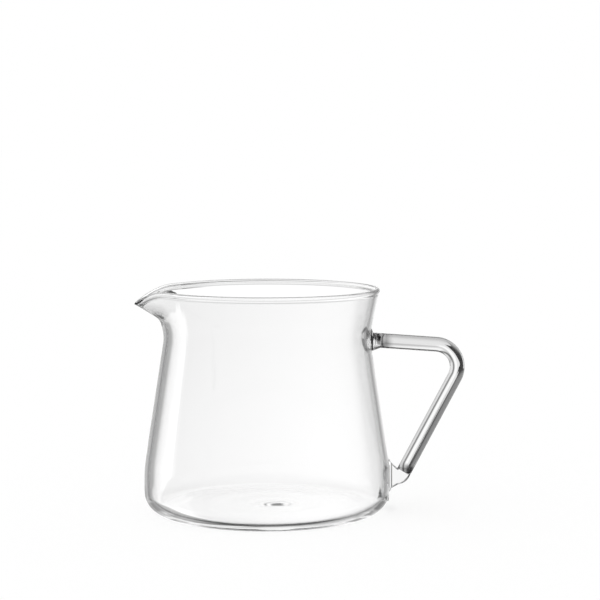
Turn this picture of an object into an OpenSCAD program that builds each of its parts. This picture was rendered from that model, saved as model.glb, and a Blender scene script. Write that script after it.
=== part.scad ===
// Coffee server carafe: a blown clear glass jug with a pulled spout and a bent glass rod for a handle.
// The origin is on the axis of the body, on the table. The handle points to +X and the spout to -X.

/* [Body] */
// Outside diameter at the widest level
body_d = 108; // [100:1:116]
// Height from the table to the top of the rim
body_h = 98; // [94:1:110]
// Height of the widest level
belly_h = 13.2; // [11:0.2:18]
// Radius of the long curve through the widest level
belly_r = 69; // [45:1:100]
// Radius of the outer corner between wall and underside
corner_r = 8.6; // [6:0.2:11]
// Height of the neck, from the waist up to the top of the rim
neck_h = 21.6; // [19:0.2:26]
// Radius of the hollow curve at the waist
waist_r = 17; // [12:1:22]
// Thickness of the blown wall
wall_t = 1.8; // [1.4:0.1:2.2]
// Thickness of the floor
floor_t = 2.4; // [1.8:0.1:4]
// How much smaller the radius of the inner corner is than the radius of the outer one
corner_t = 1.6; // [1:0.1:3]
// Width of the flat ring that the jug stands on
foot_w = 6.2; // [3:0.2:12]
// Height of the raised middle of the underside, inside the ring
punt_h = 1.2; // [0.6:0.1:3]

/* [Rim] */
// Outside diameter over the rim bead
rim_d = 98.6; // [94:0.2:104]
// How far the rim flares out past the waist
rim_flare = 4.05; // [2:0.05:7]
// How much thicker the fire-polished bead is than the wall
bead_swell = 0.6; // [0.2:0.1:1.4]

/* [Spout] */
// How far the tip of the spout stands out past the rim
spout_reach = 8.5; // [4:0.1:12]
// How far the tip of the spout dips below the rim
spout_drop = 6; // [2:0.2:8]
// Height of the pulled stretch of wall, measured down from the top of the rim
spout_h = 16; // [12:0.5:17]
// Half of the angle over which the rim is pulled out
spout_span = 36; // [26:1:50]
// Half of the angle over which the lip dips
lip_span = 29; // [20:1:50]
// Half of the angle over which the tip is rounded
tip_round = 3; // [1:0.5:6]
// How much thicker the glass is at the tip than in the wall
tip_thicker = 0.7; // [0:0.1:1.2]

/* [Handle] */
// Diameter of the glass rod
rod_d = 6.5; // [5:0.1:8]
// How far below the waist the axis of the upper arm meets the wall
arm_drop = 1.4; // [0:0.2:8]
// Slope of the upper arm, falling away from the wall
arm_slope = 4; // [0:0.5:8]
// How far the outside of the bend stands out past the widest level
handle_out = 32.7; // [28:0.1:42]
// Radius of the bend along the rod's axis
bend_r = 9.9; // [7:0.1:13]

/* [Welds] */
// How far the upper weld spreads past the rod, all round on the wall
upper_spread = 2.05; // [1.2:0.05:3.5]
// Length of the upper weld, from the wall to the rod
upper_weld_len = 4.6; // [3:0.1:7]
// Height of the lower weld's axis
lower_weld_h = 15; // [13:0.5:24]
// How far the lower weld spreads past the rod, all round on the wall
lower_spread = 2.15; // [1.2:0.05:3]
// Thickness of the lower weld, which is pinched flat on both sides
lug_t = 4.8; // [4:0.1:8]
// How far the lower weld swells past the rod where it turns up to it
elbow_swell = 0.35; // [0.1:0.05:1]
// Distance from the wall to that turn, along the lower weld's axis
elbow_len = 5.4; // [4:0.1:8]
// Length of the lower weld's neck, from the turn to the rod
elbow_neck = 3.6; // [3:0.1:6]

/* [Hidden] */
$fn = 96;

glass = [0.86, 0.89, 0.9, 0.45];
rod_glass = [0.72, 0.76, 0.78, 0.6];
weld_glass = [0.62, 0.66, 0.68, 0.7];

// Steps along the round stretches of the outline
fine_steps = 12;
few_steps = 6;
// Steps of the spout around the rim and up the wall
around_steps = 40;
up_steps = 8;
// How far the spout's edges run into the wall beside it, and how far inside its faces they lie
seam_run = 1.6;
seam_inset = 0.05;
// Share of the pulled height over which the spout turns out of the wall
turn_share = 0.25;
// How far a weld is drawn into the wall before the wall's outline is cut from it
bite = 3;
// How much the glass swells round the bend, and how far the straight rod runs into it
bend_swell = 0.05;
bend_lap = 0.3;

rod_r = rod_d / 2;
bead_r = (wall_t + bead_swell) / 2;
upper_weld_r = rod_r + upper_spread;
lower_weld_r = rod_r + lower_spread;
elbow_r = rod_r + elbow_swell;

// The waist, and the outside of the handle's bend from the body's axis
waist_d = rim_d - 2 * rim_flare;
waist_h = body_h - neck_h;
handle_reach = body_d / 2 + handle_out;

// Centres of the arcs that make the outline: belly, outer corner, waist and rim bead
belly_c = [body_d / 2 - belly_r, belly_h];
corner_c = [belly_c.x + sqrt(pow(belly_r - corner_r, 2) - pow(corner_r - belly_h, 2)), corner_r];
waist_c = [waist_d / 2 + waist_r, waist_h];
bead_c = [rim_d / 2 - bead_r, body_h - bead_r];
inner_belly_r = belly_r - wall_t;
inner_corner_r = corner_r - corner_t;
inner_corner_z = floor_t + inner_corner_r;
inner_corner_c = [
    belly_c.x + sqrt(pow(inner_belly_r - inner_corner_r, 2) - pow(inner_corner_z - belly_h, 2)),
    inner_corner_z
];

// Angle of a vector
function heading(v) = atan2(v.y, v.x);

// Angles at which the arcs run into each other, each along the wall's outward normal
corner_a = heading(corner_c - belly_c);
inner_corner_a = heading(inner_corner_c - belly_c);
wall_lean = heading(waist_c - belly_c) - acos((belly_r + waist_r) / norm(waist_c - belly_c));
flare = -heading(waist_c - bead_c) - acos((wall_t / 2 + waist_r) / norm(waist_c - bead_c));
bead_a = acos(wall_t / 2 / bead_r);

// Radius of the shallow dome under the floor, inside the ring
punt_edge = corner_c.x - foot_w;
punt_r = (pow(punt_h, 2) + pow(punt_edge, 2)) / (2 * punt_h);
punt_a = asin(punt_edge / punt_r);

// Points along an arc. An arc that runs on from another one starts at its own step 1.
function arc(c, r, from, to, steps, first = 0) =
    [for (i = [first:steps]) let (a = from + (to - from) * i / steps) c + r * [cos(a), sin(a)]];

// The rim bead, drawn in by inset all round
function bead(inset) = arc(bead_c, bead_r - inset, -bead_a - flare, 180 + bead_a - flare, fine_steps);

outer_outline = concat(
    arc([0, punt_h - punt_r], punt_r, 90, 90 - punt_a, few_steps),
    arc(corner_c, corner_r, -90, corner_a, fine_steps),
    arc(belly_c, belly_r, corner_a, wall_lean, few_steps, 1),
    arc(waist_c, waist_r, 180 + wall_lean, 180 - flare, fine_steps)
);
inner_outline = concat(
    arc(waist_c, waist_r + wall_t, 180 - flare, 180 + wall_lean, fine_steps),
    arc(belly_c, inner_belly_r, wall_lean, inner_corner_a, few_steps),
    arc(inner_corner_c, inner_corner_r, inner_corner_a, -90, fine_steps, 1),
    arc([0, punt_h - punt_r + floor_t], punt_r, 90 - punt_a, 90, few_steps)
);

// Radius of each stretch of the wall at height z, drawn in by inset from its outside
function belly_arc_r(z, inset) = belly_c.x + sqrt(pow(belly_r - inset, 2) - pow(z - belly_h, 2));
function cone_r(z, inset) =
    belly_c.x + (belly_r - inset - (z - belly_h) * sin(wall_lean)) / cos(wall_lean);
function waist_arc_r(z, inset) = waist_c.x - sqrt(pow(waist_r + inset, 2) - pow(z - waist_h, 2));
function neck_r(z, inset) =
    bead_c.x + (z - bead_c.y) * tan(flare) + (wall_t / 2 - inset) / cos(flare);

// Radius of the wall at height z, from the widest level to the rim
function wall_r(z, inset = 0) =
    z < belly_h + (belly_r - inset) * sin(wall_lean) ? belly_arc_r(z, inset)
    : z < waist_h - (waist_r + inset) * sin(wall_lean) ? cone_r(z, inset)
    : z < waist_h + (waist_r + inset) * sin(flare) ? waist_arc_r(z, inset)
    : neck_r(z, inset);

// The pulled stretch of the wall: its lower edge, and the height where the wall runs into the bead
spout_z = body_h - spout_h;
bead_foot_z = bead_c.y - bead_r * sin(bead_a + flare);
inner_bead_foot_z = bead_c.y - bead_r * sin(bead_a - flare);

// How strongly the spout is pulled at angle a from its middle: 1 at the tip, 0 past span
function from_tip(a) = sqrt(pow(a, 2) + pow(tip_round, 2)) - tip_round;
function pull(a, span) = pow(max(0, 1 - from_tip(a) / from_tip(span)), 2);

// How far the pull has built up at height z: a soft start, then a straight rise to the bead
function rise(z) =
    let (t = (min(z, bead_c.y) - spout_z) / (bead_c.y - spout_z))
    let (u = t < 0 ? 0 : t < turn_share ? t * t / turn_share / 2 : t - turn_share / 2)
    u / (1 - turn_share / 2);

// The closed outline of the spout's wall, up the outside, round the bead and down the inside
spout_low = spout_z - seam_run;
function up_wall(top, inset) =
    [for (i = [0:up_steps - 1])
        let (z = spout_low + (top - spout_low) * i / up_steps)
        [wall_r(z, inset), z]];
function down_wall(top, inset) =
    let (points = up_wall(top, inset))
    [for (i = [len(points) - 1:-1:0]) points[i]];
spout_outline = concat(
    up_wall(bead_foot_z, seam_inset),
    bead(seam_inset),
    down_wall(inner_bead_foot_z, wall_t - seam_inset)
);
inside_from = up_steps + fine_steps / 2;
around_run = spout_span + 2 * asin(seam_run / rim_d);

// One point of the spout: point k of its outline, pulled out and down at angle a
function spout_point(k, a) =
    let (p = spout_outline[k])
    let (thicker = k > inside_from ? tip_thicker : 0)
    let (r = p.x + (spout_reach - thicker) * pull(a, spout_span) * rise(p.y))
    [-r * cos(a), -r * sin(a), p.y - spout_drop * pull(a, lip_span) * rise(p.y)];

// Where the rod runs: the upper arm leaves the wall, turns round the bend and comes down to the elbow
arm_h = waist_h - arm_drop;
arm_start = [wall_r(arm_h), arm_h];
arm_dir = [cos(arm_slope), -sin(arm_slope)];
bend_x = handle_reach - rod_r - bend_r;
bend_c = [
    bend_x,
    arm_h - (bend_x - arm_start.x) * tan(arm_slope) - bend_r / cos(arm_slope)
];
elbow = [wall_r(lower_weld_h) + elbow_len, lower_weld_h];
to_bend = bend_c - elbow;
leg_lean = atan2(to_bend.x, to_bend.y) + asin(bend_r / norm(to_bend));
leg_dir = [sin(leg_lean), cos(leg_lean)];
arm_len = (bend_x - arm_start.x) / cos(arm_slope) + bend_r * tan(arm_slope);
leg_len = sqrt(pow(norm(to_bend), 2) - pow(bend_r, 2));

// Arc that blends the upper weld from the wall into the rod
blend_r = (pow(upper_spread, 2) + pow(upper_weld_len, 2)) / (2 * upper_spread);
blend_a = asin(upper_weld_len / blend_r);

// Sets +Z along a direction in the XZ plane, from a point in it
module along(start, dir) {
    translate([start.x, 0, start.y])
        rotate([0, atan2(dir.x, dir.y), 0])
            children();
}

// The body as a solid block, for cutting the welds to the wall
module body_block() {
    rotate_extrude()
        polygon(concat(outer_outline, bead(0), [[0, body_h]]));
}

// The body turned from its outline, with an even rim
module turned_body() {
    rotate_extrude()
        polygon(concat(outer_outline, bead(0), inner_outline));
}

// The sector of neck that the spout takes the place of
module spout_gap() {
    rotate_extrude(start = 180 - spout_span, angle = 2 * spout_span)
        translate([waist_d / 2 - 2 * wall_t, spout_z])
            square([rim_d, 2 * spout_h]);
}

// The pulled spout, a closed wall round the sector
module spout() {
    n = len(spout_outline);
    points = [
        for (i = [0:around_steps])
            let (a = -around_run + 2 * around_run * i / around_steps)
            for (k = [0:n - 1]) spout_point(k, a)
    ];
    sides = [
        for (i = [0:around_steps - 1])
            for (k = [0:n - 1])
                let (p = i * n + k, q = i * n + (k + 1) % n)
                for (face = [[p, q, q + n], [p, q + n, p + n]]) face
    ];
    last = around_steps * n;
    // Each end is closed by a strip of triangles between the outside and the inside
    strip = [
        for (k = [0:(n - 3) / 2])
            let (outside = [k, k + 1], inside = [n - 1 - k, n - 2 - k])
            for (face = [[outside[0], inside[0], outside[1]], [outside[1], inside[0], inside[1]]])
                if (face[0] != face[2]) face
    ];
    first_end = strip;
    last_end = [for (face = strip) [last + face[0], last + face[2], last + face[1]]];
    polyhedron(points, concat(sides, first_end, last_end));
}

module vessel() {
    color(glass)
        union() {
            difference() {
                turned_body();
                spout_gap();
            }
            spout();
        }
}

module handle_rod() {
    color(rod_glass)
        union() {
            along(arm_start + upper_weld_len * arm_dir, arm_dir)
                cylinder(r = rod_r, h = arm_len - upper_weld_len + bend_lap);
            translate([bend_c.x, 0, bend_c.y])
                rotate([90, 0, 0])
                    rotate_extrude(start = -leg_lean, angle = 90 - arm_slope + leg_lean)
                        translate([bend_r, 0])
                            circle(r = rod_r + bend_swell);
            along(elbow + elbow_neck * leg_dir, leg_dir)
                cylinder(r = rod_r, h = leg_len - elbow_neck + bend_lap);
        }
}

module upper_weld() {
    blend = arc([rod_r + blend_r, upper_weld_len], blend_r, 180 + blend_a, 180, few_steps);
    color(weld_glass)
        difference() {
            along(arm_start, arm_dir)
                rotate_extrude()
                    polygon(concat([[0, -bite], [upper_weld_r, -bite]], blend, [[0, upper_weld_len]]));
            body_block();
        }
}

// The lower weld as it is drawn, round and running into the wall
module round_lug() {
    union() {
        along([elbow.x - elbow_len - bite, elbow.y], [1, 0])
            cylinder(r = lower_weld_r, h = bite);
        along([elbow.x - elbow_len, elbow.y], [1, 0])
            cylinder(r1 = lower_weld_r, r2 = elbow_r, h = elbow_len);
        along(elbow, [1, 0])
            sphere(r = elbow_r);
        along(elbow, leg_dir)
            cylinder(r1 = elbow_r, r2 = rod_r, h = elbow_neck);
    }
}

// The slab that holds the lower weld between its two flat sides
module pinched_slab() {
    width = 2 * (bite + elbow_len + elbow_neck + lower_weld_r);
    translate([elbow.x, 0, elbow.y])
        cube([width, lug_t, width], center = true);
}

module lower_weld() {
    color(weld_glass)
        difference() {
            intersection() {
                round_lug();
                pinched_slab();
            }
            body_block();
        }
}

vessel();
handle_rod();
upper_weld();
lower_weld();
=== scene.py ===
"""A clear glass coffee server: a blown body with a pulled spout, and a bent glass rod for a handle.

Sizes are in millimetres, as on a drawing, and become metres where a mesh is made. The origin is on the
axis of the body, on the table. The handle points to +X and the spout to -X.
"""

from __future__ import annotations

import logging
import math
from dataclasses import dataclass, replace
from enum import Enum
from typing import Any

import bmesh
import bpy
from mathutils import Matrix, Vector

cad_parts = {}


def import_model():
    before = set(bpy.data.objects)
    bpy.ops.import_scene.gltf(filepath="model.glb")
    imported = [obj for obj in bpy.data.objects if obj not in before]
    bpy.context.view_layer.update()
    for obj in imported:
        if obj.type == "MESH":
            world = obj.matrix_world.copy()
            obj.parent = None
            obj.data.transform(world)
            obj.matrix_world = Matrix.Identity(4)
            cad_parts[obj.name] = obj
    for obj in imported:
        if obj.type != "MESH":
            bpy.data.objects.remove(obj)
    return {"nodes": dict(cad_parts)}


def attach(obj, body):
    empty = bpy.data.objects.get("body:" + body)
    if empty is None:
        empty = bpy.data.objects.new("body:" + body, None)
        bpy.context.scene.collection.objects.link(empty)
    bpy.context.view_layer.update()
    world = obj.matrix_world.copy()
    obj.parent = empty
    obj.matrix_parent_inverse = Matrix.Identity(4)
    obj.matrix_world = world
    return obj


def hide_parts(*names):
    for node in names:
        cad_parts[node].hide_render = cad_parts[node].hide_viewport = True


LOG = logging.getLogger("coffee_server")
MM = 0.001
UP = Vector((0.0, 0.0, 1.0))
# Turning about this axis carries +X towards +Z
SIDE = Vector((0.0, -1.0, 0.0))
QUARTER = math.pi / 2
# Degrees in a radian and in half a turn
DEGREES = 180.0 / math.pi
HALF_TURN = 180.0
# Faces of glass that light passes in one rod, and in the two walls of a hollow body
PASSED_FACES = (2.0, 4.0)
# Material slot of a melted seam, after the piece's own glass
MELTED = 1
# Points of a mesh that are closer than this, in metres, become one
MERGE = 0.0005 * MM
# How much distance counts along each axis: all round, in the XZ plane alone, and across alone
ALL_ROUND = (1.0, 1.0, 1.0)
IN_PLANE = (1.0, 0.0, 1.0)
ACROSS = (1.0, 0.0, 0.0)

Triple = tuple[float, float, float]
# Where each step starts and ends, and what it leads to
Steps = tuple[Triple, ...]


def point(across: float, up: float) -> Vector:
    """Return the point of the XZ plane at these millimetres, in metres."""
    return Vector((across, 0.0, up)) * MM


def smooth_step(value: float, low: float, high: float) -> float:
    """Ease from 0 at low to 1 at high.

    Args:
        value: Where the step is read.
        low: Value at which it starts.
        high: Value at which it ends.

    Returns:
        The eased share, from 0 to 1.
    """
    share = min(1.0, max(0.0, (value - low) / (high - low)))
    return share * share * (3.0 - 2.0 * share)


def grey(tone: float) -> tuple[float, float, float, float]:
    """Return an opaque grey."""
    return tone, tone, tone, 1.0


class ProfilePen:
    """Draws an outline in the XZ plane, one stretch after another."""

    def __init__(self, mesh: bmesh.types.BMesh, across: float, up: float) -> None:
        """Set the pen down.

        Args:
            mesh: Mesh that takes the outline.
            across: Distance of the first point from the axis, in millimetres.
            up: Height of the first point, in millimetres.
        """
        self.mesh = mesh
        made = bmesh.ops.create_vert(mesh, co=point(across, up))
        self.tip: bmesh.types.BMVert = made["vert"][0]

    def line(self, across: float, up: float, steps: int) -> None:
        """Draw a straight stretch.

        Args:
            across: Distance of its end from the axis, in millimetres.
            up: Height of its end, in millimetres.
            steps: Number of edges along it.
        """
        step = (point(across, up) - self.tip.co) / steps
        for _ in range(steps):
            made = bmesh.ops.extrude_vert_indiv(self.mesh, verts=[self.tip])
            self.tip = made["verts"][0]
            bmesh.ops.translate(self.mesh, verts=[self.tip], vec=step)

    def arc(self, centre: tuple[float, float], turn: float, steps: int) -> None:
        """Draw a round stretch.

        Args:
            centre: Centre of the arc, in millimetres.
            turn: Angle that it turns through, in radians, positive from +X to +Z.
            steps: Number of edges along it.
        """
        made = bmesh.ops.spin(
            self.mesh,
            geom=[self.tip],
            cent=point(*centre),
            axis=SIDE,
            angle=turn,
            steps=steps,
        )
        self.tip = next(e for e in made["geom_last"] if isinstance(e, bmesh.types.BMVert))


class RodSweep:
    """Draws a rod through the XZ plane, one stretch after another."""

    def __init__(
        self,
        mesh: bmesh.types.BMesh,
        start: Vector,
        heading: float,
        radius: float,
        sides: int,
        squareness: float = 2.0,
    ) -> None:
        """Set the first ring.

        Args:
            mesh: Mesh that takes the rod.
            start: Middle of the first ring, in metres.
            heading: Angle of the rod's axis from +X towards +Z, in radians.
            radius: Radius of the first ring, in millimetres.
            sides: Number of points round the rod.
            squareness: 2 for a round ring, and more for a square one with round corners.
        """
        self.mesh = mesh
        self.middle = start.copy()
        self.heading = heading
        self.radius = radius
        self.crown = 1.0
        made = bmesh.ops.create_circle(mesh, cap_ends=False, radius=radius * MM, segments=sides)
        self.verts: list[bmesh.types.BMVert] = made["verts"]
        for vert in self.verts:
            far = (abs(vert.co.x) ** squareness + abs(vert.co.y) ** squareness) ** (1.0 / squareness)
            vert.co *= radius * MM / far
        face_x = Matrix.Rotation(QUARTER, 4, "Y")
        turned = Matrix.Rotation(heading, 4, SIDE)
        bmesh.ops.transform(mesh, matrix=Matrix.Translation(start) @ turned @ face_x, verts=self.verts)

    @property
    def way(self) -> Vector:
        """Return the unit vector along the rod."""
        return Vector((math.cos(self.heading), 0.0, math.sin(self.heading)))

    def _ring_edges(self) -> list[bmesh.types.BMEdge]:
        """Return the edges of the last ring."""
        ring = set(self.verts)
        return [e for e in self.mesh.edges if e.verts[0] in ring and e.verts[1] in ring]

    def straight(
        self, length: float, steps: int, radius: float | None = None, crown: float = 1.0
    ) -> None:
        """Run straight on.

        Args:
            length: Length of the stretch, in millimetres.
            steps: Number of rings along it.
            radius: Radius at its end, in millimetres, or None to keep the radius.
            crown: Height of its upper half at its end, as a share of the radius.
        """
        for size in self._sizes(steps, radius, crown):
            made = bmesh.ops.extrude_edge_only(self.mesh, edges=self._ring_edges())
            self.verts = [e for e in made["geom"] if isinstance(e, bmesh.types.BMVert)]
            forward = self.way * (length / steps) * MM
            bmesh.ops.translate(self.mesh, verts=self.verts, vec=forward)
            self.middle += forward
            self._resize(*size)

    def _sizes(self, steps: int, radius: float | None, crown: float) -> list[tuple[float, float]]:
        """Work out the sizes of the next rings.

        Args:
            steps: Number of rings.
            radius: Radius of the last one, or None to keep the radius.
            crown: Crown of the last one.

        Returns:
            The radius and crown of each ring.
        """
        last = self.radius if radius is None else radius
        shares = [step / steps for step in range(1, steps + 1)]
        radii = [self.radius + (last - self.radius) * share for share in shares]
        crowns = [self.crown + (crown - self.crown) * share for share in shares]
        return list(zip(radii, crowns))

    def _resize(self, radius: float, crown: float) -> None:
        """Give the last ring a new radius, and its upper half a new share of it.

        Args:
            radius: The radius, in millimetres.
            crown: The share.
        """
        up = Vector((-math.sin(self.heading), 0.0, math.cos(self.heading)))
        grown = radius / self.radius
        for vert in self.verts:
            off = vert.co - self.middle
            height = off.dot(up)
            raised = crown / self.crown if height > 0.0 else 1.0
            vert.co = self.middle + (off + up * height * (raised - 1.0)) * grown
        self.radius = radius
        self.crown = crown

    def turn(
        self, pivot: Vector, angle: float, steps: int, radius: float | None = None, crown: float = 1.0
    ) -> None:
        """Run round a bend.

        Args:
            pivot: Centre of the bend, in metres.
            angle: Angle that the rod turns through, in radians, positive from +X to +Z.
            steps: Number of rings round the bend.
            radius: Radius at its end, in millimetres, or None to keep the radius.
            crown: Height of its upper half at its end, as a share of the radius.
        """
        for size in self._sizes(steps, radius, crown):
            made = bmesh.ops.spin(
                self.mesh,
                geom=self.verts + self._ring_edges(),
                cent=pivot,
                axis=SIDE,
                angle=angle / steps,
                steps=1,
            )
            self.verts = [e for e in made["geom_last"] if isinstance(e, bmesh.types.BMVert)]
            self.middle = pivot + Matrix.Rotation(angle / steps, 3, SIDE) @ (self.middle - pivot)
            self.heading += angle / steps
            self._resize(*size)


@dataclass(frozen=True)
class Wire:
    """An output of a node, with the maths that its values are used in."""

    desk: NodeDesk
    socket: bpy.types.NodeSocket

    def maths(self, operation: str, first: Any, second: Any = 0.0) -> Wire:
        """Add a Math node.

        Args:
            operation: Name of the operation.
            first: First value, a wire or a number.
            second: Second value, a wire or a number.

        Returns:
            The node's result.
        """
        return self.desk.node("ShaderNodeMath", {"operation": operation}, {0: first, 1: second})

    def __add__(self, other: Any) -> Wire:
        """Add a value."""
        return self.maths("ADD", self, other)

    def __radd__(self, other: Any) -> Wire:
        """Add to a number."""
        return self.maths("ADD", other, self)

    def __sub__(self, other: Any) -> Wire:
        """Take a value away."""
        return self.maths("SUBTRACT", self, other)

    def __rsub__(self, other: Any) -> Wire:
        """Take away from a number."""
        return self.maths("SUBTRACT", other, self)

    def __mul__(self, other: Any) -> Wire:
        """Multiply by a value."""
        return self.maths("MULTIPLY", self, other)

    def __rmul__(self, other: Any) -> Wire:
        """Multiply a number."""
        return self.maths("MULTIPLY", other, self)

    def either(self, other: Any) -> Wire:
        """Return the larger of two values."""
        return self.maths("MAXIMUM", self, other)

    def eased(self, low: float, high: float, out_low: float = 0.0, out_high: float = 1.0) -> Wire:
        """Ease the value from one range into another.

        Args:
            low: Value at which the step starts.
            high: Value at which it ends.
            out_low: Result at the start.
            out_high: Result at the end.

        Returns:
            The eased value.
        """
        return self.desk.node(
            "ShaderNodeMapRange",
            {"interpolation_type": "SMOOTHSTEP"},
            {0: self, 1: low, 2: high, 3: out_low, 4: out_high},
        )

    def levels(self, first: float, *steps: Triple) -> Wire:
        """Go from one level to the next as the value rises.

        Args:
            first: Level before the first step.
            steps: Where each step starts and ends, and the level that it leads to.

        Returns:
            The level at the value.
        """
        total: Any = first
        level = first
        for low, high, after in steps:
            total = self.eased(low, high, 0.0, after - level) + total
            level = after
        return total


class NodeDesk:
    """Adds nodes to one node tree."""

    def __init__(self, tree: bpy.types.NodeTree) -> None:
        """Clear the tree and keep it."""
        self.tree = tree
        tree.nodes.clear()

    def node(
        self,
        kind: str,
        settings: dict[str, Any] | None = None,
        sockets: dict[Any, Any] | None = None,
        output: Any = 0,
    ) -> Wire:
        """Add one node.

        Args:
            kind: Type of the node.
            settings: Its own settings, which are set first.
            sockets: Values or wires for its inputs, by name or number.
            output: Name or number of the output that is wanted.

        Returns:
            That output.
        """
        made = self.tree.nodes.new(kind)
        for name, value in (settings or {}).items():
            setattr(made, name, value)
        for name, value in (sockets or {}).items():
            if isinstance(value, Wire):
                self.tree.links.new(value.socket, made.inputs[name])
            else:
                made.inputs[name].default_value = value
        socket = made.outputs[output] if made.outputs else None
        return Wire(self, socket)


@dataclass(frozen=True)
class PaintedShade:
    """Painted shade: grey mottling that darkens the glass's colour around a point, standing in for the
    dark that refraction shows there.
    """

    # Distances from its middle to which it is full and at which it ends, in millimetres
    full: float
    end: float
    # Share of the glass's colour that the painted shade takes where its mottling is thickest and where it
    # is thinnest
    depth: tuple[float, float]
    # Its middle, in millimetres from the joint, and how much distance from it counts along each axis
    off: Triple = (0.0, 0.0, 0.0)
    axes: Triple = ALL_ROUND
    # The joint that it belongs to, in metres
    joint: Triple = (0.0, 0.0, 0.0)
    # Number of mottles to a metre, and the part of their noise that is used
    grain: float = 650.0
    spread: tuple[float, float] = (0.4, 0.6)

    def at(self, joint: Vector) -> PaintedShade:
        """Return the same painted shade at a joint of the jug."""
        return replace(self, joint=tuple(joint))

    def clear(self, desk: NodeDesk, place: Wire) -> Wire:
        """Work out how much of the glass's colour the painted shade leaves.

        Args:
            desk: The material's node tree.
            place: Where the point is.

        Returns:
            The share of the colour that the painted shade leaves.
        """
        middle = tuple(Vector(self.joint) + Vector(self.off) * MM)
        off = desk.node("ShaderNodeVectorMath", {"operation": "SUBTRACT"}, {0: place, 1: middle})
        off = desk.node("ShaderNodeVectorMath", {"operation": "MULTIPLY"}, {0: off, 1: self.axes})
        away = desk.node("ShaderNodeVectorMath", {"operation": "LENGTH"}, {0: off}, output="Value")
        shade_noise = desk.node("ShaderNodeTexNoise", sockets={"Vector": place, "Scale": self.grain})
        shade_taken = shade_noise.eased(*self.spread, *self.depth)
        return 1.0 - shade_taken * away.eased(self.full * MM, self.end * MM, 1.0, 0.0)


@dataclass(frozen=True)
class GlassFinish:
    """Clear glass: how much light it takes, and how far its surface is from perfect."""

    name: str
    # Share of light that comes through a piece
    tint: float
    # Roughness where the surface is hazed by handling
    haze: float
    # Number of hazed patches and of ripples to a metre
    haze_scale: float
    ripple_scale: float
    # Height of the ripples, in millimetres
    ripple: float
    ior: float = 1.473
    # Roughness where the surface is clean
    polish: float = 0.0
    # Finer detail in the haze, how strong that is, and the part of its noise that is used
    haze_detail: float = 4.0
    haze_break: float = 0.6
    haze_spread: tuple[float, float] = (0.45, 0.75)
    # Finer detail in the ripples
    ripple_detail: float = 1.0

    def material(self, painted_shades: tuple[PaintedShade, ...]) -> bpy.types.Material:
        """Build the glass with its haze, its ripples, the grey of its depth and any painted shade.

        Args:
            painted_shades: Places with mottling, or none for clear glass.

        Returns:
            painted_shades: Places with painted shade, or none for clear glass.
        """
        made = bpy.data.materials.new(self.name)
        made.use_nodes = True
        desk = NodeDesk(made.node_tree)
        place = desk.node("ShaderNodeTexCoord", output="Object")
        patches = desk.node(
            "ShaderNodeTexNoise",
            sockets={
                "Vector": place,
                "Scale": self.haze_scale,
                "Detail": self.haze_detail,
                "Roughness": self.haze_break,
            },
        )
        ripples = desk.node(
            "ShaderNodeTexNoise",
            sockets={"Vector": place, "Scale": self.ripple_scale, "Detail": self.ripple_detail},
        )
        bump = desk.node(
            "ShaderNodeBump",
            sockets={"Strength": 1.0, "Distance": self.ripple * MM, "Height": ripples},
        )
        # Painted shade: each patch darkens the Base Color around its place
        clear = (painted_shade.clear(desk, place) for painted_shade in painted_shades)
        surface = desk.node(
            "ShaderNodeBsdfPrincipled",
            sockets={
                # the glass's tint, darkened where shade is painted
                "Base Color": math.prod(clear, start=self.tint) if painted_shades else grey(self.tint),
                "Roughness": patches.eased(*self.haze_spread, self.polish, self.haze),
                "IOR": self.ior,
                "Transmission Weight": 1.0,
                "Normal": bump,
            },
        )
        desk.node("ShaderNodeOutputMaterial", sockets={"Surface": surface})
        return made


def melted_seam() -> bpy.types.Material:
    """Build the finish of hidden faces where two pieces are melted into one.

    Returns:
        The material, of which nothing shows.
    """
    made = bpy.data.materials.new("melted_seam")
    made.use_nodes = True
    desk = NodeDesk(made.node_tree)
    surface = desk.node("ShaderNodeBsdfPrincipled", sockets={"Alpha": 0.0})
    desk.node("ShaderNodeOutputMaterial", sockets={"Surface": surface})
    return made


class Glass(Enum):
    """The three ways in which the jug's glass was worked."""

    BLOWN = GlassFinish(
        "blown_glass", tint=0.985, haze=0.02, haze_scale=60.0, ripple_scale=28.0, ripple=0.02
    )
    DRAWN = GlassFinish(
        "drawn_rod_glass", tint=0.74, haze=0.015, haze_scale=90.0, ripple_scale=60.0, ripple=0.01
    )
    FLAMED = GlassFinish(
        "flame_worked_glass", tint=0.88, haze=0.03, haze_scale=200.0, ripple_scale=160.0, ripple=0.02
    )


@dataclass(frozen=True)
class Piece:
    """A finished mesh that stands for one node of the frame."""

    name: str
    node: str
    slot: str
    glass: Glass

    def set_out(self, mesh: bmesh.types.BMesh, *painted_shades: PaintedShade) -> bpy.types.Object:
        """Turn a mesh into the piece, dress it and fix it to the body.

        Args:
            mesh: The finished mesh, which is freed.
            painted_shades: Places of painted shade in its glass.

        Returns:
            The piece.
        """
        bmesh.ops.remove_doubles(mesh, verts=mesh.verts, dist=MERGE)
        bmesh.ops.recalc_face_normals(mesh, faces=mesh.faces)
        for face in mesh.faces:
            face.smooth = True
        data = bpy.data.meshes.new(self.name)
        mesh.to_mesh(data)
        mesh.free()
        data.materials.append(self.glass.value.material(painted_shades))
        data.materials.append(melted_seam())
        made = bpy.data.objects.new(self.name, data)
        bpy.context.scene.collection.objects.link(made)
        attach(made, "root")
        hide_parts(self.node)
        LOG.info("%s stands for %s with %d faces", self.name, self.node, len(data.polygons))
        return made


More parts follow.
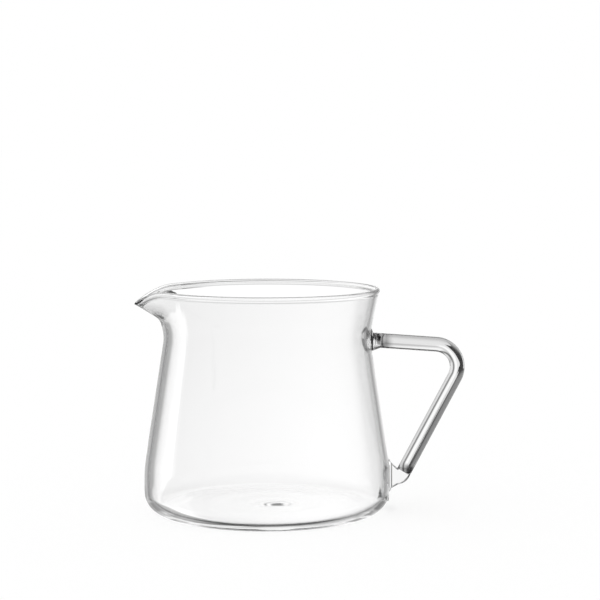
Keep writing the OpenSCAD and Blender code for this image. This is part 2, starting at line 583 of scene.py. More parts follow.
@dataclass(frozen=True)
class Pinch:
    """How a round lug is pressed flat on both sides while it is hot."""

    # Thickness between the sides in millimetres, and how sharply they turn into the edges
    thickness: float
    sharpness: float
    # Nearest that a point comes to the flat side, as a share of the way there
    most: float = 0.999

    def press(self, off: float) -> float:
        """Return where a point of the round lug is pressed to, off the middle plane in metres."""
        share = abs(off) * 2 / (self.thickness * MM)
        return off / (1.0 + share**self.sharpness) ** (1.0 / self.sharpness)

    def release(self, off: float) -> float:
        """Return where a pressed point was on the round lug, off the middle plane in metres."""
        share = min(abs(off) * 2 / (self.thickness * MM), self.most)
        return off / (1.0 - share**self.sharpness) ** (1.0 / self.sharpness)


@dataclass(frozen=True)
class Seat:
    """A place on the wall where a weld is melted on, with the lump that it leaves inside."""

    # A point of the weld's axis and the way that it runs, in metres
    middle: Vector
    way: Vector
    # Radius of the weld on the wall, and radius and height of the lump, in millimetres
    radius: float
    lump_r: float
    lump_h: float
    pinch: Pinch | None = None

    def _off(self, spot: Vector) -> Vector:
        """Return the way from the axis to a point."""
        away = spot - self.middle
        return away - self.way * away.dot(self.way)

    def near(self, spot: Vector, margin: float) -> bool:
        """Say whether a point is within the radius and a margin in millimetres."""
        return self._off(spot).length < (self.radius + margin) * MM

    def holds(self, spot: Vector) -> bool:
        """Say whether a point is under the weld.

        Args:
            spot: A point of the wall.

        Returns:
            True where the weld covers it.
        """
        off = self._off(spot)
        if self.pinch:
            off.y = self.pinch.release(off.y)
        return off.length < self.radius * MM

    def lump(self, spot: Vector) -> float:
        """Return how far the lump stands inwards at a point of the wall, in millimetres."""
        share = self._off(spot).length / (self.lump_r * MM)
        return self.lump_h * math.sqrt(1.0 - share * share) if share < 1.0 else 0.0


def melt(faces: list[bmesh.types.BMFace]) -> None:
    """Give faces the finish of a melted seam."""
    for face in faces:
        face.material_index = MELTED


@dataclass
class BlownBody:
    """The blown wall with its floor, rim bead and pulled spout."""

    body_d: float = 108.0
    body_h: float = 98.0
    belly_h: float = 13.2
    belly_r: float = 69.0
    corner_r: float = 8.6
    neck_h: float = 21.6
    waist_r: float = 17.0
    wall_t: float = 1.8
    floor_t: float = 2.4
    corner_t: float = 1.6
    foot_w: float = 6.2
    punt_h: float = 1.2
    rim_d: float = 98.6
    rim_flare: float = 4.05
    bead_swell: float = 0.6
    spout_reach: float = 8.45
    spout_drop: float = 6.0
    spout_h: float = 16.0
    spout_span: float = math.radians(36.0)
    lip_span: float = math.radians(29.0)
    tip_round: float = math.radians(3.0)
    tip_thicker: float = 0.7
    turn_share: float = 0.25
    # Height and spacing of the soft rings in the floor, and the share of its radius where they fade
    floor_wave: float = 0.025
    floor_wave_gap: float = 17.0
    floor_calm: float = 0.6
    # The shallow dimple beside the floor's middle: place, radius and depth
    dimple_at: tuple[float, float] = (4.0, -8.0)
    dimple_r: float = 12.0
    dimple_h: float = 0.55
    # Edges along each stretch of the outline
    punt_steps: int = 10
    foot_steps: int = 2
    corner_steps: int = 20
    belly_steps: int = 8
    wall_steps: int = 8
    waist_steps: int = 12
    neck_steps: int = 14
    bead_steps: int = 20
    inner_corner_steps: int = 16
    ledge_steps: int = 4
    floor_steps: int = 28
    # Edges round the spout's sector and round the rest of the wall
    spout_steps: int = 150
    round_steps: int = 190
    spout_sector: float = math.radians(80.0)
    # How far past a weld the wall is divided finely, and the cuts in each of its edges there
    seat_margin: float = 4.0
    seat_cuts_up: int = 14
    seat_cuts_round: int = 6
    piece: Piece = Piece("blown_body", "vessel", "vessel_glass", Glass.BLOWN)

    def __post_init__(self) -> None:
        """Work out the arcs of the outline and where they run into each other."""
        self.waist_h = self.body_h - self.neck_h
        self.bead_r = (self.wall_t + self.bead_swell) / 2
        belly_x = self.body_d / 2 - self.belly_r
        self.belly_c = (belly_x, self.belly_h)
        low = self.corner_r - self.belly_h
        self.corner_c = (belly_x + math.sqrt((self.belly_r - self.corner_r) ** 2 - low**2), self.corner_r)
        self.waist_c = (self.rim_d / 2 - self.rim_flare + self.waist_r, self.waist_h)
        self.bead_c = (self.rim_d / 2 - self.bead_r, self.body_h - self.bead_r)
        self.inner_belly_r = self.belly_r - self.wall_t
        self.inner_corner_r = self.corner_r - self.corner_t
        inner_z = self.floor_t + self.inner_corner_r
        reach = math.sqrt((self.inner_belly_r - self.inner_corner_r) ** 2 - (inner_z - self.belly_h) ** 2)
        self.inner_corner_c = (belly_x + reach, inner_z)
        self.corner_a = self._heading(self.belly_c, self.corner_c)
        self.inner_corner_a = self._heading(self.belly_c, self.inner_corner_c)
        self.wall_lean = self._heading(self.belly_c, self.waist_c) - math.acos(
            (self.belly_r + self.waist_r) / math.dist(self.belly_c, self.waist_c)
        )
        self.flare = -self._heading(self.bead_c, self.waist_c) - math.acos(
            (self.wall_t / 2 + self.waist_r) / math.dist(self.bead_c, self.waist_c)
        )
        self.bead_a = math.acos(self.wall_t / 2 / self.bead_r)
        self.punt_edge = self.corner_c[0] - self.foot_w
        self.punt_r = (self.punt_h**2 + self.punt_edge**2) / (2 * self.punt_h)
        self.punt_a = math.asin(self.punt_edge / self.punt_r)
        self.spout_z = self.body_h - self.spout_h

    @staticmethod
    def _heading(start: tuple[float, float], end: tuple[float, float]) -> float:
        """Return the angle of the way from one point to another."""
        return math.atan2(end[1] - start[1], end[0] - start[0])

    @staticmethod
    def _on_arc(centre: tuple[float, float], radius: float, angle: float) -> tuple[float, float]:
        """Return the point of an arc at an angle."""
        return centre[0] + radius * math.cos(angle), centre[1] + radius * math.sin(angle)

    def wall_r(self, z: float, inset: float = 0.0) -> float:
        """Find the radius of the wall.

        Args:
            z: Height from the table, from the widest level to the rim.
            inset: How far inside the outer face.

        Returns:
            The radius at that height.
        """
        lean, flare = self.wall_lean, self.flare
        belly, waist = self.belly_r - inset, self.waist_r + inset
        if z < self.belly_h + belly * math.sin(lean):
            return self.belly_c[0] + math.sqrt(belly**2 - (z - self.belly_h) ** 2)
        if z < self.waist_h - waist * math.sin(lean):
            return self.belly_c[0] + (belly - (z - self.belly_h) * math.sin(lean)) / math.cos(lean)
        if z < self.waist_h + waist * math.sin(flare):
            return self.waist_c[0] - math.sqrt(waist**2 - (z - self.waist_h) ** 2)
        middle = self.bead_c[0] + (z - self.bead_c[1]) * math.tan(flare)
        return middle + (self.wall_t / 2 - inset) / math.cos(flare)

    def _outline(self, mesh: bmesh.types.BMesh) -> None:
        """Draw the half outline, up the outside, over the rim and down the inside.

        Args:
            mesh: Mesh that takes the outline.
        """
        half_turn = math.pi
        sweep = self.wall_lean + self.flare
        inner_waist = self.waist_r + self.wall_t
        dome_c = (0.0, self.punt_h - self.punt_r)
        pen = ProfilePen(mesh, 0.0, self.punt_h)
        pen.arc(dome_c, -self.punt_a, self.punt_steps)
        pen.line(self.corner_c[0], 0.0, self.foot_steps)
        pen.arc(self.corner_c, self.corner_a + QUARTER, self.corner_steps)
        pen.arc(self.belly_c, self.wall_lean - self.corner_a, self.belly_steps)
        wall_end = self._on_arc(self.waist_c, self.waist_r, half_turn + self.wall_lean)
        pen.line(*wall_end, self.wall_steps)
        pen.arc(self.waist_c, -sweep, self.waist_steps)
        neck_end = self._on_arc(self.bead_c, self.bead_r, -self.bead_a - self.flare)
        pen.line(*neck_end, self.neck_steps)
        pen.arc(self.bead_c, half_turn + 2 * self.bead_a, self.bead_steps)
        neck_foot = self._on_arc(self.waist_c, inner_waist, half_turn - self.flare)
        pen.line(*neck_foot, self.neck_steps)
        pen.arc(self.waist_c, sweep, self.waist_steps)
        wall_foot = self._on_arc(self.belly_c, self.inner_belly_r, self.wall_lean)
        pen.line(*wall_foot, self.wall_steps)
        pen.arc(self.belly_c, self.inner_corner_a - self.wall_lean, self.belly_steps)
        pen.arc(self.inner_corner_c, -QUARTER - self.inner_corner_a, self.inner_corner_steps)
        pen.line(self.punt_edge, self.floor_t, self.ledge_steps)
        pen.arc((0.0, dome_c[1] + self.floor_t), self.punt_a, self.floor_steps)

    def _pull(self, angle: float, span: float) -> float:
        """Say how strongly the spout is pulled.

        Args:
            angle: Angle from the spout's middle, in radians.
            span: Angle past which nothing is pulled.

        Returns:
            1 at the tip, 0 past the span.
        """
        away = math.hypot(angle, self.tip_round) - self.tip_round
        most = math.hypot(span, self.tip_round) - self.tip_round
        return max(0.0, 1.0 - away / most) ** 2

    def _rise(self, z: float) -> float:
        """Say how far the pull has built up, with a soft start.

        Args:
            z: Height from the table, in millimetres.

        Returns:
            0 below the spout, 1 at the rim.
        """
        share = (min(z, self.bead_c[1]) - self.spout_z) / (self.bead_c[1] - self.spout_z)
        if share <= 0.0:
            return 0.0
        turned = self.turn_share
        built = share * share / turned / 2 if share < turned else share - turned / 2
        return built / (1 - turned / 2)

    def _draw_spout(self, mesh: bmesh.types.BMesh) -> None:
        """Pull the spout out of the rim.

        Args:
            mesh: The turned wall.
        """
        for vert in mesh.verts:
            angle = math.atan2(-vert.co.y, -vert.co.x)
            z = vert.co.z / MM
            radius = math.hypot(vert.co.x, vert.co.y) / MM
            if z < self.spout_z or abs(angle) > self.spout_span:
                continue
            depth = self.wall_r(z, self.wall_t / 2) - radius
            inside = smooth_step(depth, -self.bead_r / 2, self.bead_r / 2)
            reach = (self.spout_reach - self.tip_thicker * inside) * self._pull(angle, self.spout_span)
            out = (radius + reach * self._rise(z)) / radius
            vert.co.x *= out
            vert.co.y *= out
            vert.co.z -= self.spout_drop * self._pull(angle, self.lip_span) * self._rise(z) * MM

    def _ripple_floor(self, mesh: bmesh.types.BMesh) -> None:
        """Leave soft rings in the floor, fading towards its edge, and the dimple.

        Args:
            mesh: The turned wall.
        """
        underside = (self.punt_h + self.floor_t) / 2 * MM
        for vert in mesh.verts:
            radius = math.hypot(vert.co.x, vert.co.y) / MM
            if vert.co.z < underside or radius > self.punt_edge:
                continue
            fade = 1.0 - smooth_step(radius, self.punt_edge * self.floor_calm, self.punt_edge)
            wave = math.cos(2 * math.pi * radius / self.floor_wave_gap)
            away = math.dist((vert.co.x / MM, vert.co.y / MM), self.dimple_at)
            dimple = 1.0 - smooth_step(away, 0.0, self.dimple_r)
            vert.co.z += (self.floor_wave * fade * wave - self.dimple_h * dimple) * MM

    def _is_outside(self, spot: Vector) -> bool:
        """Say whether a point is on the wall's outer face."""
        return math.hypot(spot.x, spot.y) > self.wall_r(spot.z / MM, self.wall_t / 2) * MM

    def _set_seat(self, mesh: bmesh.types.BMesh, seat: Seat) -> None:
        """Divide the wall finely round a seat, raise the lump inside and melt what is under the weld.

        Args:
            mesh: The turned wall.
            seat: The seat.
        """
        for upright, cuts in ((True, self.seat_cuts_up), (False, self.seat_cuts_round)):
            near = [f for f in mesh.faces if seat.near(f.calc_center_median(), self.seat_margin)]
            near = [f for f in near if f.calc_center_median().x > 0.0]
            edges = {edge for face in near for edge in face.edges}
            chosen = [e for e in edges if self._is_upright(e) == upright]
            made = bmesh.ops.subdivide_edges(mesh, edges=chosen, cuts=cuts, use_grid_fill=True)
            for vert in (v for v in made["geom_inner"] if isinstance(v, bmesh.types.BMVert)):
                self._place(vert, 0.0 if self._is_outside(vert.co) else self.wall_t)
        side = [f for f in mesh.faces if f.calc_center_median().x > 0.0]
        held = [f for f in side if seat.holds(f.calc_center_median())]
        melt([f for f in held if self._is_outside(f.calc_center_median())])
        verts = {v for f in side for v in f.verts if seat.near(v.co, self.seat_margin)}
        for vert in (v for v in verts if not self._is_outside(v.co)):
            self._place(vert, self.wall_t + seat.lump(vert.co))

    def _place(self, vert: bmesh.types.BMVert, inset: float) -> None:
        """Set a point of the wall at its radius.

        Args:
            vert: The point.
            inset: How far inside the outer face, in millimetres.
        """
        out = (self.wall_r(vert.co.z / MM) - inset) * MM / math.hypot(vert.co.x, vert.co.y)
        vert.co.x *= out
        vert.co.y *= out

    @staticmethod
    def _is_upright(edge: bmesh.types.BMEdge) -> bool:
        """Say whether an edge runs up the wall and not round it."""
        along = edge.verts[1].co - edge.verts[0].co
        return abs(along.z) > math.hypot(along.x, along.y)

    def build(self, seats: list[Seat], painted_shades: list[PaintedShade]) -> bpy.types.Object:
        """Turn the wall, pull the spout, melt the seats of the welds and set the piece out.

        Args:
            seats: Where the welds sit.
            painted_shades: Painted shade on the lumps behind the welds.

        Returns:
            The piece.
        """
        mesh = bmesh.new()
        self._outline(mesh)
        start = Matrix.Rotation(math.pi - self.spout_sector / 2, 4, "Z")
        bmesh.ops.transform(mesh, matrix=start, verts=mesh.verts)
        geom: list[Any] = [*mesh.verts, *mesh.edges]
        turns = (
            (self.spout_sector, self.spout_steps),
            (2 * math.pi - self.spout_sector, self.round_steps),
        )
        for angle, steps in turns:
            made = bmesh.ops.spin(
                mesh, geom=geom, cent=(0.0, 0.0, 0.0), axis=UP, angle=angle, steps=steps
            )
            geom = made["geom_last"]
        bmesh.ops.remove_doubles(mesh, verts=mesh.verts, dist=MERGE)
        self._ripple_floor(mesh)
        self._draw_spout(mesh)
        for seat in seats:
            self._set_seat(mesh, seat)
        # The wall's glass takes the painted shade behind the welds
        return self.piece.set_out(mesh, *painted_shades)


@dataclass
class RodHandle:
    """The bent rod, and the two gathers of glass that weld it to the wall."""

    body: BlownBody
    rod_d: float = 6.5
    arm_drop: float = 1.4
    arm_slope: float = math.radians(4.0)
    handle_out: float = 32.7
    bend_r: float = 9.9
    upper_spread: float = 2.05
    upper_weld_len: float = 4.6
    lower_weld_h: float = 15.0
    lower_spread: float = 2.15
    elbow_len: float = 5.4
    elbow_neck: float = 2.0
    # Radius of the lower weld's turn along its axis, and of the notch inside it
    elbow_turn: float = 3.2
    notch_r: float = 0.15
    # How fast the lower weld narrows towards its turn, and how much thinner than the rod it ends
    elbow_taper: float = 0.54
    elbow_draw: float = 0.2
    # How the lower weld is pressed, and how square it is before that
    pinch: Pinch = Pinch(4.8, 10.0)
    lug_square: float = 4.0
    # How far its foot spreads on the wall, and how high the foot is
    foot_spread: float = 1.5
    foot_len: float = 0.75
    # Width and depth of the crease round the foot
    crease_w: float = 0.12
    crease_h: float = 0.3
    # Radius and height of the lumps that the welds leave inside the wall
    upper_lump: tuple[float, float] = (5.5, 1.9)
    lower_lump: tuple[float, float] = (2.6, 0.6)
    # Distance from the wall over which the upper weld loses the spread on its top
    sag_from: tuple[float, float] = (0.0, 1.2)
    # Painted shade: darkening painted behind the upper weld, high on its front, and on the end of the rod
    # in it
    lump_painted_shade: PaintedShade = PaintedShade(4.6, 6.3, (0.6, 0.15))
    weld_painted_shade: PaintedShade = PaintedShade(1.9, 2.8, (0.998, 0.97), (2.3, -2.6, 1.6))
    start_painted_shade: PaintedShade = PaintedShade(0.8, 5.8, (0.8, 0.7), (5.0, 0.0, -2.0), IN_PLANE)
    # Painted shade behind the lower weld, as a thin upright dark oval, and in the crease around its foot
    oval_painted_shade: PaintedShade = PaintedShade(0.25, 0.7, (0.6, 0.5), (-2.2, 0.0, 0.0), (1.0, 0.3, 0.22))
    crease_painted_shade: PaintedShade = PaintedShade(0.1, 0.3, (0.75, 0.55), axes=ACROSS)
    # Painted shade on the rod's lower end and in the lug's notch
    end_painted_shade: PaintedShade = PaintedShade(0.9, 2.6, (0.97, 0.85), (3.1, 0.0, 2.5), IN_PLANE)
    notch_painted_shade: PaintedShade = PaintedShade(0.3, 1.0, (0.9, 0.7), (-1.9, 0.0, 3.5), IN_PLANE)
    # Air that is left between pieces that are melted together on the real jug
    seam: float = 0.02
    # How far a weld is drawn into the wall before it is set on the wall's face
    bite: float = 2.0
    # Width of the band round the ends of the lower weld
    end_band: float = 1.0
    sides: int = 72
    # Rings along the rod: its arm, bend and leg
    rod_rings: tuple[int, int, int] = (12, 40, 16)
    # Edges along the upper weld's outline: its pad, the pad's side, its flare and its end
    upper_steps: tuple[int, int, int, int] = (8, 3, 14, 5)
    # Rings along the lower weld: in the wall, its foot, each half of the crease, its lug, turn and neck
    lower_rings: tuple[int, int, int, int, int, int] = (2, 12, 2, 18, 20, 2)
    rod: Piece = Piece("bent_rod", "handle_rod", "rod_glass", Glass.DRAWN)
    upper: Piece = Piece("upper_gather", "upper_weld", "weld_glass", Glass.FLAMED)
    lower: Piece = Piece("lower_lug", "lower_weld", "weld_glass", Glass.FLAMED)

    def __post_init__(self) -> None:
        """Work out the rod's route from the wall, round the bend and down to the lower weld."""
        self.rod_r = self.rod_d / 2
        arm_h = self.body.waist_h - self.arm_drop
        self.arm_start = point(self.body.wall_r(arm_h), arm_h)
        self.arm_way = Vector((math.cos(self.arm_slope), 0.0, -math.sin(self.arm_slope)))
        bend_x = self.body.body_d / 2 + self.handle_out - self.rod_r - self.bend_r
        run = bend_x - self.arm_start.x / MM
        bend_z = arm_h - run * math.tan(self.arm_slope) - self.bend_r / math.cos(self.arm_slope)
        self.bend_c = point(bend_x, bend_z)
        self.arm_len = run / math.cos(self.arm_slope) + self.bend_r * math.tan(self.arm_slope)
        self.lug_x = self.body.wall_r(self.lower_weld_h)
        self.lug_start = point(self.lug_x, self.lower_weld_h)
        # Where the crease round the lug's foot lies
        self.crease = point(self.lug_x + self.foot_len + self.crease_w / 2, 0.0)
        self.elbow = point(self.lug_x + self.elbow_len, self.lower_weld_h)
        to_bend = (self.bend_c - self.elbow) / MM
        self.leg_len = math.sqrt(to_bend.length**2 - self.bend_r**2)
        lean = math.atan2(to_bend.x, to_bend.z) + math.asin(self.bend_r / to_bend.length)
        # Angle of the leg's axis from +X towards +Z
        self.leg_rise = QUARTER - lean

    @property
    def seats(self) -> list[Seat]:
        """Work out where the two welds sit on the wall.

        Returns:
            The seats of the upper and the lower weld.
        """
        upper_r = self.rod_r + self.upper_spread
        foot_r = self.rod_r + self.lower_spread + self.foot_spread
        return [
            Seat(self.arm_start, self.arm_way, upper_r, *self.upper_lump),
            Seat(self.lug_start, Vector((1.0, 0.0, 0.0)), foot_r, *self.lower_lump, self.pinch),
        ]

    @property
    def lump_painted_shades(self) -> list[PaintedShade]:
        """Return the painted shade on the lumps behind the welds."""
        return [self.lump_painted_shade.at(self.arm_start), self.oval_painted_shade.at(self.lug_start)]

    @property
    def end_painted_shades(self) -> list[PaintedShade]:
        """Return the painted shade where the rod runs into the lug."""
        return [self.end_painted_shade.at(self.elbow), self.notch_painted_shade.at(self.elbow)]

    def _seat(self, mesh: bmesh.types.BMesh) -> None:
        """Set what reaches into the wall on the wall's outer face, and melt it there.

        Args:
            mesh: A weld that was drawn into the wall.
        """
        seated = set()
        for vert in mesh.verts:
            face = (self.body.wall_r(vert.co.z / MM) + self.seam) * MM
            across = math.sqrt(face * face - vert.co.y * vert.co.y)
            if vert.co.x < across:
                vert.co.x = across
                seated.add(vert)
        melt([f for f in mesh.faces if seated.issuperset(f.verts)])

    def _sag(self, mesh: bmesh.types.BMesh) -> None:
        """Take the spread off the top of the upper weld, so that it hangs below the rod.

        Args:
            mesh: The round weld, standing on its pad with its upper side towards -X.
        """
        for vert in mesh.verts:
            along = vert.co.z / MM
            share = min(1.0, max(0.0, 1.0 - along / self.upper_weld_len))
            spread = self.rod_r + self.upper_spread * share
            if vert.co.x < 0.0:
                kept = 1.0 - smooth_step(along, *self.sag_from)
                vert.co.x *= kept + (1.0 - kept) * self.rod_r / spread

    @staticmethod
    def _close(mesh: bmesh.types.BMesh) -> list[bmesh.types.BMFace]:
        """Close the open ends of a sweep and return the end faces."""
        open_edges = [e for e in mesh.edges if e.is_boundary]
        return bmesh.ops.holes_fill(mesh, edges=open_edges, sides=0)["faces"]

    def build_rod(self) -> bpy.types.Object:
        """Draw the rod from weld to weld and set the piece out.

        Returns:
            The piece.
        """
        mesh = bmesh.new()
        arm, bend, leg = self.rod_rings
        start = self.arm_start + self.arm_way * (self.upper_weld_len + self.seam) * MM
        sweep = RodSweep(mesh, start, -self.arm_slope, self.rod_r, self.sides)
        sweep.straight(self.arm_len - self.upper_weld_len - self.seam, arm)
        sweep.turn(self.bend_c, self.arm_slope + self.leg_rise - math.pi, bend)
        sweep.straight(self.leg_len - self.elbow_neck - self.seam, leg)
        melt([end for end in self._close(mesh) if end.calc_center_median().z > self.bend_c.z])
        # The rod's glass gets painted shade at its start and at its lower end
        return self.rod.set_out(mesh, self.start_painted_shade.at(self.arm_start), *self.end_painted_shades)

    def build_upper(self) -> bpy.types.Object:
        """Turn the flared upper weld, set it on the neck and set the piece out.

        Returns:
            The piece.
        """
        mesh = bmesh.new()
        pad, side, flare, end = self.upper_steps
        pad_r = self.rod_r + self.upper_spread
        pen = ProfilePen(mesh, 0.0, -self.bite)
        pen.line(pad_r, -self.bite, pad)
        pen.line(pad_r, 0.0, side)
        pen.line(self.rod_r, self.upper_weld_len, flare)
        pen.line(0.0, self.upper_weld_len, end)
        bmesh.ops.spin(
            mesh,
            geom=[*mesh.verts, *mesh.edges],
            cent=(0.0, 0.0, 0.0),
            axis=UP,
            angle=2 * math.pi,
            steps=self.sides,
            use_merge=True,
        )
        bmesh.ops.remove_doubles(mesh, verts=mesh.verts, dist=MERGE)
        self._sag(mesh)
        top = (self.upper_weld_len - self.seam) * MM
        melt([f for f in mesh.faces if f.calc_center_median().z > top])
        stand = Matrix.Rotation(QUARTER + self.arm_slope, 4, "Y")
        bmesh.ops.transform(mesh, matrix=Matrix.Translation(self.arm_start) @ stand, verts=mesh.verts)
        self._seat(mesh)
        # The upper weld's glass gets painted shade high on its front
        return self.upper.set_out(mesh, self.weld_painted_shade.at(self.arm_start))

    def build_lower(self) -> bpy.types.Object:
        """Draw the lower weld from the wall round its turn and set the piece out.

        Returns:
            The piece.
        """
        mesh = bmesh.new()
        bite, foot, groove, lug, turn, neck = self.lower_rings
        pad_r = self.rod_r + self.lower_spread
        elbow_r = self.rod_r - self.elbow_draw
        run_out = self.elbow_turn * math.tan(self.leg_rise / 2)
        run_in = self.elbow_len - run_out - self.foot_len - self.crease_w
        start = point(self.lug_x - self.bite, self.lower_weld_h)
        sweep = RodSweep(mesh, start, 0.0, pad_r + self.foot_spread, self.sides, self.lug_square)
        sweep.straight(self.bite, bite)
        sweep.straight(self.foot_len, foot, pad_r)
        sweep.straight(self.crease_w / 2, groove, pad_r - self.crease_h)
        sweep.straight(self.crease_w / 2, groove, pad_r)
        turn_r = pad_r - self.elbow_taper * run_in
        notch = self.elbow_turn - self.notch_r
        sweep.straight(run_in, lug, turn_r, notch / turn_r)
        pivot = sweep.middle + UP * self.elbow_turn * MM
        sweep.turn(pivot, self.leg_rise, turn, elbow_r, notch / elbow_r)
        sweep.straight(self.elbow_neck - run_out, neck, elbow_r)
        for end in self._close(mesh):
            bmesh.ops.inset_region(mesh, faces=[end], thickness=self.end_band * MM)
        for vert in mesh.verts:
            vert.co.y = self.pinch.press(vert.co.y)
            creased = 1.0 - smooth_step(abs(vert.co.x - self.crease.x), 0.0, self.crease_w / 2 * MM)
            vert.co.y *= 1.0 - creased * 2 * self.crease_h / self.pinch.thickness
        self._seat(mesh)
        # The lower weld's glass gets painted shade in its crease and where the rod runs in
        return self.lower.set_out(mesh, self.crease_painted_shade.at(self.crease), *self.end_painted_shades)


@dataclass(frozen=True)
class ViewPoint:
    """The camera, as the photograph was taken."""

    # Distance from the body's axis and height over the table, in metres
    away: float = 0.809
    height: float = 0.1667
    tilt: float = math.radians(5.237)
    swing: float = math.radians(1.025)
    lens: float = 111.67
    sensor: float = 36.0

    def build(self) -> bpy.types.Object:
        """Set the camera up and make it the scene's own.

        Returns:
            The camera.
        """
        data = bpy.data.cameras.new("viewpoint")
        data.lens = self.lens
        data.sensor_width = self.sensor
        made = bpy.data.objects.new("viewpoint", data)
        made.location = (0.0, -self.away, self.height)
        made.rotation_euler = (QUARTER - self.tilt, 0.0, -self.swing)
        bpy.context.scene.collection.objects.link(made)
        bpy.context.scene.camera = made
        return made


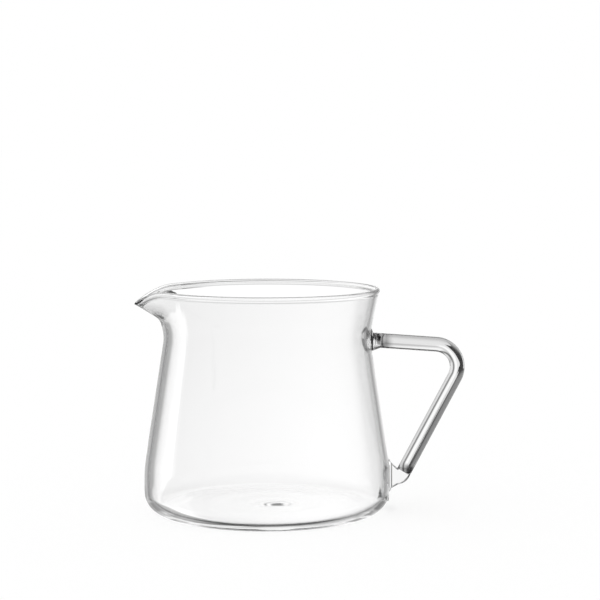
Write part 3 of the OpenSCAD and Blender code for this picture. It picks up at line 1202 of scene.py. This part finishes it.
@dataclass(frozen=True)
class Studio:
    """A white table, and round it a room of white panels with dim gaps between them.

    The table is lit evenly. The glass sees only the panels and gaps, which give it its dark edges.
    Angles are in degrees, across from the middle of a panel, positive to the right, or up from level.
    A step is where it starts, where it ends, and the tone or the angle that it leads to.
    """

    table_size: float = 12.0
    # Angle from one panel to the next, which is twice as much above a height
    panel_gap: float = 45.0
    wide_gap_from: float = -10.5
    # Tone of the room far from a panel, and the steps from there across a panel
    behind: float = 0.65
    panels: Steps = (
        (-58.0, -50.0, 0.2),
        (-31.0, -27.0, 0.52),
        (-20.5, -18.5, 0.34),
        (-16.5, -14.5, 0.5),
        (-12.4, -9.6, 1.22),
        (-5.6, -5.0, 1.0),
        (-4.5, 4.0, 1.11),
        (5.3, 6.8, 1.03),
        (9.5, 16.0, 0.78),
        (16.0, 19.0, 0.64),
        (20.0, 30.0, 0.36),
        (46.0, 54.0, 0.65),
    )
    # Share of that tone straight down, and the steps from there up to the ceiling
    nadir: float = 0.1
    panel_up: Steps = (
        (-58.0, -44.0, 0.8),
        (-42.0, -24.0, 1.0),
        (-10.0, -5.0, 0.95),
        (24.0, 44.0, 0.2),
    )
    # How much farther a solid rod sees to each side before the next panel
    rod_gap_more: float = 15.0
    # Tone of the light that a solid rod gathers from below, and the steps from there up and across
    rod_nadir: float = 0.1
    rod_up: Steps = (
        (-66.0, -48.0, 0.75),
        (-40.0, -16.0, 1.08),
        (0.0, 4.5, 0.72),
        (6.5, 18.0, 1.05),
        (28.0, 36.0, 0.12),
    )
    rod_across: Steps = (
        (5.0, 7.5, 1.28),
        (15.0, 23.5, 0.28),
        (26.5, 34.0, 1.0),
    )
    # The dim gap on a rod's other side: its tone, the steps from there up, and the heights where it begins
    gap_tone: float = 0.02
    gap_up: Steps = ((-5.0, 2.0, 0.3),)
    gap_from: tuple[float, float] = (-44.0, -18.0)
    # Where the gap fades into the next panel, and the tone that this adds
    gap_fade: tuple[float, float] = (-60.0, -38.0)
    gap_fade_tone: float = 0.2
    # Its edge across, from below and in steps up, and how soft that edge is
    gap_edge: float = -8.0
    gap_edge_up: Steps = (
        (-26.0, -14.0, 2.0),
        (-11.3, -9.5, -8.0),
        (-8.5, -6.0, 1.0),
        (-5.45, -5.3, -5.0),
        (-4.75, -4.45, -3.0),
        (1.5, 4.0, -12.0),
    )
    gap_blur: float = 1.0
    # Heights above which there is such a gap beside every panel, and how far across it reaches below them
    horizon: tuple[float, float] = (-4.75, -4.45)
    low_gap_to: tuple[float, float] = (35.0, 39.0)
    bounces: int = 32

    def _table(self) -> bpy.types.Object:
        """Make the table top.

        Returns:
            The table top, which isn't part of the jug.
        """
        mesh = bmesh.new()
        bmesh.ops.create_grid(mesh, x_segments=2, y_segments=2, size=self.table_size)
        data = bpy.data.meshes.new("table_top")
        mesh.to_mesh(data)
        mesh.free()
        paper = bpy.data.materials.new("white_table")
        paper.use_nodes = True
        desk = NodeDesk(paper.node_tree)
        matt = desk.node("ShaderNodeBsdfDiffuse", sockets={"Color": grey(1.0)})
        desk.node("ShaderNodeOutputMaterial", sockets={"Surface": matt})
        data.materials.append(paper)
        made = bpy.data.objects.new("table_top", data)
        made.visible_transmission = False
        made.visible_glossy = False
        bpy.context.scene.collection.objects.link(made)
        return made

    def _room(self, desk: NodeDesk) -> Wire:
        """Work out how bright the room is in each direction.

        Args:
            desk: The world's node tree.

        Returns:
            The brightness that the glass sees.
        """
        place = desk.node("ShaderNodeTexCoord", output="Generated")
        x, y, z = (desk.node("ShaderNodeSeparateXYZ", sockets={0: place}, output=axis) for axis in "XYZ")
        height = z.maths("ARCSINE", z) * DEGREES
        turn = x.maths("ARCTAN2", x, y) * DEGREES
        faces = desk.node("ShaderNodeLightPath", output="Transmission Depth")
        mirrored = desk.node("ShaderNodeLightPath", output="Glossy Depth").eased(0.0, 1.0)
        solid = faces.eased(*PASSED_FACES, 1.0, 0.0) * (1.0 - mirrored)
        wide = solid.either(height.maths("GREATER_THAN", height, self.wide_gap_from))
        near = (1.0 + wide) * (self.panel_gap / 2) + solid * self.rod_gap_more
        half = near + mirrored * (HALF_TURN - near)
        across = desk.node("ShaderNodeMath", {"operation": "WRAP"}, {0: turn, 1: half, 2: half * -1.0})
        walls = across.levels(self.behind, *self.panels) * height.levels(self.nadir, *self.panel_up)
        lit = across.levels(1.0, *self.rod_across) * height.levels(self.rod_nadir, *self.rod_up)
        high = height.eased(*self.horizon)
        edge = height.levels(self.gap_edge, *self.gap_edge_up)
        beside = turn.maths("ABSOLUTE", turn).eased(*self.low_gap_to, 1.0, 0.0).either(high)
        gap = (across - edge).eased(-self.gap_blur, self.gap_blur, 1.0, 0.0)
        dim = height.levels(self.gap_tone, *self.gap_up)
        dim = dim + across.eased(*self.gap_fade, self.gap_fade_tone, 0.0)
        rod = lit + gap * beside * height.eased(*self.gap_from) * (dim - lit)
        return walls + solid * (rod - walls)

    def _light(self) -> None:
        """Light the table evenly, and show the glass the room."""
        world = bpy.data.worlds.new("studio")
        world.use_nodes = True
        world.cycles.sampling_method = "NONE"
        bpy.context.scene.world = world
        desk = NodeDesk(world.node_tree)
        camera = desk.node("ShaderNodeLightPath", output="Is Camera Ray")
        scattered = desk.node("ShaderNodeLightPath", output="Diffuse Depth")
        plain = camera.either(scattered.eased(0.0, 1.0))
        room = self._room(desk)
        light = room + plain * (1.0 - room)
        glow = desk.node("ShaderNodeBackground", sockets={"Color": grey(1.0), "Strength": light})
        desk.node("ShaderNodeOutputWorld", sockets={"Surface": glow})

    def build(self) -> None:
        """Set the table and the light, and let light pass through many walls of glass."""
        self._table()
        self._light()
        scene = bpy.context.scene
        scene.view_settings.view_transform = "Standard"
        scene.cycles.max_bounces = self.bounces
        scene.cycles.transmission_bounces = self.bounces
        scene.cycles.glossy_bounces = self.bounces
        scene.cycles.blur_glossy = 0.0


def main() -> None:
    """Build the jug on its table."""
    logging.basicConfig(level=logging.INFO, format="%(message)s")
    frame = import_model()
    LOG.info("frame holds %s", ", ".join(sorted(frame["nodes"])))
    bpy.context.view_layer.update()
    Studio().build()
    ViewPoint().build()
    body = BlownBody()
    handle = RodHandle(body)
    body.build(handle.seats, handle.lump_painted_shades)
    handle.build_rod()
    handle.build_upper()
    handle.build_lower()


if __name__ == "__main__":
    main()
